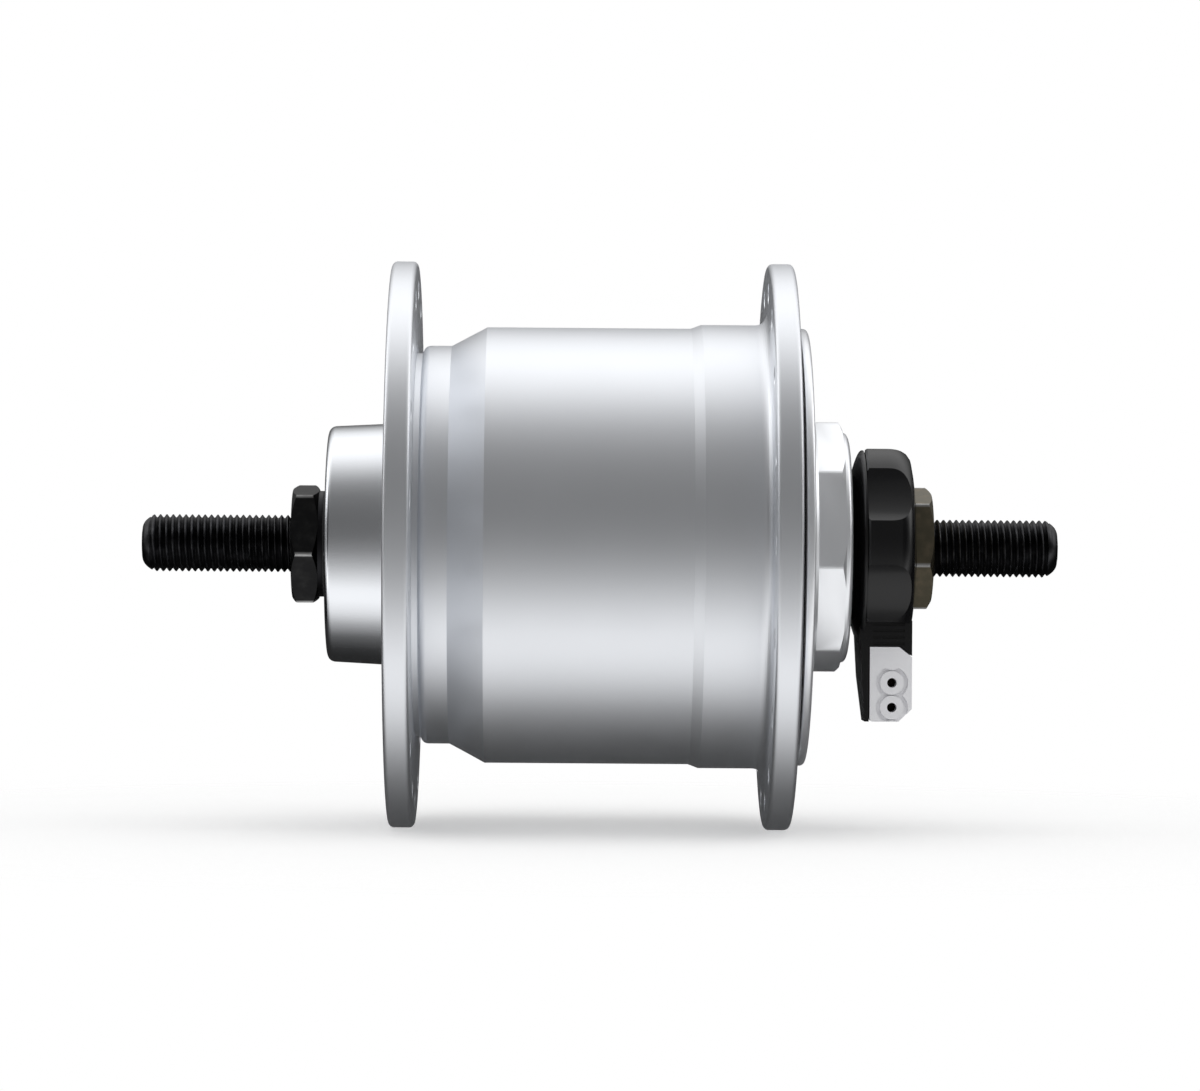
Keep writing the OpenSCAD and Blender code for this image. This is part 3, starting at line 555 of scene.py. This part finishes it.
def refitted_mesh(node, along=None, up=None, out=None, turn=0.0):
    """A copy of a solid's mesh, turned about the axle or moved as its stops say. Only the arm moves up."""
    disc_end = 89.32 * MM
    weld = 1e-7
    cosine, sine = math.cos(turn), math.sin(turn)
    work = bmesh.new()
    work.from_mesh(frame["nodes"][node].data)
    bmesh.ops.remove_doubles(work, verts=work.verts, dist=weld)
    for vertex in work.verts:
        x, y, z = vertex.co
        if up and x > disc_end:
            z = moved_along(z / MM, up) * MM
        if along:
            x = moved_along(x / MM, along) * MM
        if out:
            radius = math.hypot(y, z)
            share = moved_along(radius / MM, out) * MM / radius
            y, z = y * share, z * share
        vertex.co = (x, y * cosine - z * sine, y * sine + z * cosine)
    mesh = bpy.data.meshes.new("fitted_" + node)
    work.to_mesh(mesh)
    work.free()
    for name in ("custom_normal", "sharp_face", "sharp_edge"):
        if name in mesh.attributes:
            mesh.attributes.remove(mesh.attributes[name])
    smooth(mesh, SHARP_EDGE)
    return mesh


def smooth(mesh, sharp_angle):
    mesh.shade_smooth()
    mesh.set_sharp_from_angle(angle=sharp_angle)


# Operators


class HUB_OT_dress_solids(bpy.types.Operator):
    """Give every solid of the hub the finish of its material slot"""

    bl_idname = "hub.dress_solids"
    bl_label = "Dress the solids"

    def execute(self, context):
        materials = make_materials(context.scene.hub_finish)
        for node, slot in material_slots().items():
            solid = frame["nodes"][node]
            solid.data.materials.clear()
            solid.data.materials.append(materials[slot])
        return {"FINISHED"}


class HUB_OT_fit_edges(bpy.types.Operator):
    """Move a few ends and edges of the cover, terminal and nuts to where the real ones are"""

    bl_idname = "hub.fit_edges"
    bl_label = "Fit the edges"

    def execute(self, context):
        bodies = frame["record"]["behaviour"]["bodies"]
        slots = material_slots()
        for node, moves in REFITS.items():
            body = next(name for name, nodes in bodies.items() if node in nodes)
            mesh = refitted_mesh(node, **moves)
            mesh.materials.append(bpy.data.materials[slots[node]])
            new_piece("fitted_" + node, mesh, body, slots[node], node)
        return {"FINISHED"}


class HUB_OT_thread_axle(bpy.types.Operator):
    """Make the axle with its thread on both free ends"""

    bl_idname = "hub.thread_axle"
    bl_label = "Thread the axle"

    def execute(self, context):
        thread = context.scene.hub_thread
        pitch_size_drop = 0.325
        crest = AXLE_BOX[1].z
        root = crest - thread.depth
        left_nut_face = LEFT_NUT_BOX[0].x
        right_nut_face = RIGHT_NUT_BOX[1].x
        tree = thread_tree()
        material = bpy.data.materials["axle_steel"]
        meshes = []
        for start, end in ((AXLE_BOX[0].x, left_nut_face), (AXLE_BOX[1].x, right_nut_face)):
            length = abs(end - start)
            meshes.append(mesh_from_tree("threaded_end", tree, {
                "Start": start, "Length": length, "Pitch": thread.pitch, "Crest radius": crest,
                "Root radius": root, "Tip radius": crest - thread.tip_depth,
                "Tip length": thread.tip_length, "Direction": math.copysign(1.0, end - start),
                "Rings": int(RINGS_A_TURN * (length / thread.pitch + 2)) + 3,
                "Points round": POINTS_ROUND, "Material": material}))
        core = crest - pitch_size_drop * thread.pitch
        meshes.append(rod("axle_core", left_nut_face, right_nut_face, core))
        mesh = joined_mesh("threaded_axle", *meshes)
        smooth(mesh, SHARP_THREAD_EDGE)
        new_piece("threaded_axle", mesh, "axle_assembly", "axle_steel", "axle")
        return {"FINISHED"}


class HUB_OT_set_stage(bpy.types.Operator):
    """Set up the camera, the white surround, the floor, the lamp and the tent that the metal reflects"""

    bl_idname = "hub.set_stage"
    bl_label = "Set the stage"

    def execute(self, context):
        stage = context.scene.hub_stage
        place_camera(stage)
        light_surround(stage)
        lay_floor()
        hang_lamp(stage)
        pitch_tent(stage)
        context.scene.view_settings.view_transform = "Standard"
        return {"FINISHED"}


def place_camera(stage):
    """A camera in front that looks level. Its frame is shifted, as it stands left of the middle."""
    data = bpy.data.cameras.new("camera")
    camera = bpy.data.objects.new("camera", data)
    bpy.context.scene.collection.objects.link(camera)
    camera.location = stage.camera_place
    camera.rotation_euler = (math.radians(90), stage.camera_roll, 0)
    data.sensor_width = 36
    data.lens = data.sensor_width * abs(stage.camera_place[1]) / stage.frame_width
    data.shift_x = (stage.frame_centre - stage.camera_place[0]) / stage.frame_width
    data.clip_start, data.clip_end = 0.01, 20
    bpy.context.scene.camera = camera


def seen_rays(tree):
    """1 for a ray from the camera, off a glossy surface or through glass, and 0 for soft light."""
    path = add_node(tree, "ShaderNodeLightPath", output="Is Camera Ray")
    glossy = Wire(tree, path.socket.node.outputs["Is Glossy Ray"])
    through = Wire(tree, path.socket.node.outputs["Is Transmission Ray"])
    return path.highest(glossy).highest(through)


def light_surround(stage):
    """A white room all round, whose soft light is weaker than it looks."""
    world = bpy.data.worlds.new("white_surround")
    bpy.context.scene.world = world
    world.use_nodes = True
    tree = world.node_tree
    background = tree.nodes["Background"]
    background.inputs["Color"].default_value = colour(1, 1, 1)
    strength = between(seen_rays(tree), stage.surround, 1.0)
    tree.links.new(strength.socket, background.inputs["Strength"])


def lay_floor():
    """A round pale floor under the flanges, partly clear, which fades out into the white surround."""
    radius = 0.2
    fade_start, fade_end = 0.09, 0.19
    gap = 0.02 * MM
    least_clear = 0.4
    work = bmesh.new()
    bmesh.ops.create_circle(work, cap_ends=True, segments=64, radius=radius)
    mesh = bpy.data.meshes.new("floor")
    work.to_mesh(mesh)
    work.free()
    floor = bpy.data.objects.new("floor", mesh)
    floor.location = (HUB_MIDDLE, 0, CAD_BOX[0][2] - gap)
    floor.visible_glossy = False
    bpy.context.scene.collection.objects.link(floor)
    material = bpy.data.materials.new("floor_white")
    material.use_nodes = True
    tree = material.node_tree
    shader = tree.nodes["Principled BSDF"]
    shader.inputs["Base Color"].default_value = grey(0.92)
    shader.inputs["Roughness"].default_value = 0.9
    shader.inputs["Specular IOR Level"].default_value = 0.0
    place = object_place(tree)
    distance = place.node("ShaderNodeVectorMath", [(0, place)], output="Value", operation="LENGTH")
    share = ((distance - fade_start) / (fade_end - fade_start)).limited()
    share = between(share * share * (3.0 - 2.0 * share), least_clear, 1.0)
    clear = share.node("ShaderNodeBsdfTransparent")
    mix = share.node("ShaderNodeMixShader", [(0, share), (1, Wire(tree, shader.outputs[0])), (2, clear)])
    tree.links.new(mix.socket, tree.nodes["Material Output"].inputs["Surface"])
    floor.data.materials.append(material)


def hang_lamp(stage):
    """One wide soft lamp above, a little in front, which the metal doesn't show."""
    place, lean = (HUB_MIDDLE, -0.15, 0.95), math.radians(9)
    data = bpy.data.lights.new("overhead", "AREA")
    data.shape = "RECTANGLE"
    data.size, data.size_y = 1.1, 0.9
    data.energy = stage.overhead
    lamp = bpy.data.objects.new("overhead", data)
    lamp.location = place
    lamp.rotation_euler = (lean, 0, 0)
    lamp.visible_glossy = False
    bpy.context.scene.collection.objects.link(lamp)


def pitch_tent(stage):
    """A long round tent about the axle, whose panels are seen only where the metal reflects them.

    A panel is an angle, which is 0 straight in front, 90 above and -90 below, and its tone there.
    The tent's ends repeat the panels with more contrast, and are plain in the middle.
    All tones are grey, so that maths nodes may work on them.
    """
    radius, half_length = 1.4, 1.6
    end_margin = 0.01
    end_tone = 0.5
    end_middle_radius = 0.4 * radius
    end_gain = 1.25
    panels = [(-180, 0.02), (-140, 0.02), (-122, 0.03), (-100, 0.11), (-84, 0.39), (-71, 0.79),
              (-56, 1.03), (-44, 1.0), (-32, 0.73), (-21, 0.47), (-7, 0.25), (7, 0.15), (21, 0.135),
              (35, 0.15), (49, 0.19), (62, 0.31), (72, 0.53), (81, 0.77), (92, 1.06), (104, 1.2),
              (118, 1.24), (134, 0.95), (146, 0.55), (160, 0.18), (172, 0.05), (180, 0.03)]
    work = bmesh.new()
    bmesh.ops.create_cone(work, cap_ends=True, segments=72, radius1=radius, radius2=radius,
                          depth=2 * half_length)
    mesh = bpy.data.meshes.new("tent")
    work.to_mesh(mesh)
    work.free()
    tent = bpy.data.objects.new("tent", mesh)
    tent.location = (HUB_MIDDLE, 0, 0)
    tent.rotation_euler = (0, math.radians(90), 0)
    bpy.context.scene.collection.objects.link(tent)
    material = bpy.data.materials.new("tent_panels")
    material.use_nodes = True
    tree = material.node_tree
    tree.nodes.clear()
    along, y, z = add_node(tree, "ShaderNodeNewGeometry", output="Position").parts()
    turn = z.maths("ARCTAN2", y * -1.0)
    tones = turn.node("ShaderNodeValToRGB", [(0, turn / (2 * math.pi) + 0.5)])
    ramp = tones.socket.node.color_ramp
    ramp.elements.remove(ramp.elements[1])
    ramp.elements[0].color = grey(panels[0][1])
    for angle, brightness in panels[1:]:
        ramp.elements.new(angle / 360 + 0.5).color = grey(brightness)
    end = abs(along - HUB_MIDDLE) > half_length - end_margin
    from_middle = (y * y + z * z) ** 0.5 / end_middle_radius
    plain_share = end * (1.0 - from_middle.limited())
    tone = mixed_colour(end, tones, tones * tones * end_gain)
    tone = mixed_colour(plain_share, tone, grey(end_tone))
    glow = tone.node("ShaderNodeEmission", [("Color", tone), ("Strength", stage.tent)])
    leave = tree.nodes.new("ShaderNodeOutputMaterial")
    tree.links.new(glow.socket, leave.inputs["Surface"])
    mesh.materials.append(material)
    tent.visible_camera = False
    tent.visible_diffuse = False
    tent.visible_transmission = False
    tent.visible_shadow = False


class HUB_PT_panel(bpy.types.Panel):
    """Settings and steps of the hub dynamo"""

    bl_label = "Hub dynamo"
    bl_idname = "HUB_PT_panel"
    bl_space_type = "VIEW_3D"
    bl_region_type = "UI"
    bl_category = "Hub dynamo"

    def draw(self, context):
        for group in (context.scene.hub_finish, context.scene.hub_thread, context.scene.hub_stage):
            for name in group.bl_rna.properties.keys():
                if name not in ("rna_type", "name"):
                    self.layout.prop(group, name)
        for operator in OPERATORS:
            self.layout.operator(operator.bl_idname)


OPERATORS = (HUB_OT_dress_solids, HUB_OT_fit_edges, HUB_OT_thread_axle, HUB_OT_set_stage)
SETTINGS = {"hub_finish": HubFinishSettings, "hub_thread": HubThreadSettings,
            "hub_stage": HubStageSettings}


def register():
    for cls in (*SETTINGS.values(), *OPERATORS, HUB_PT_panel):
        bpy.utils.register_class(cls)
    for name, cls in SETTINGS.items():
        setattr(bpy.types.Scene, name, bpy.props.PointerProperty(type=cls))


def unregister():
    for name in SETTINGS:
        delattr(bpy.types.Scene, name)
    for cls in (HUB_PT_panel, *reversed(OPERATORS), *reversed(SETTINGS.values())):
        bpy.utils.unregister_class(cls)


def main():
    register()
    bpy.ops.hub.dress_solids()
    bpy.ops.hub.fit_edges()
    bpy.ops.hub.thread_axle()
    bpy.ops.hub.set_stage()


if __name__ == "__main__":
    main()
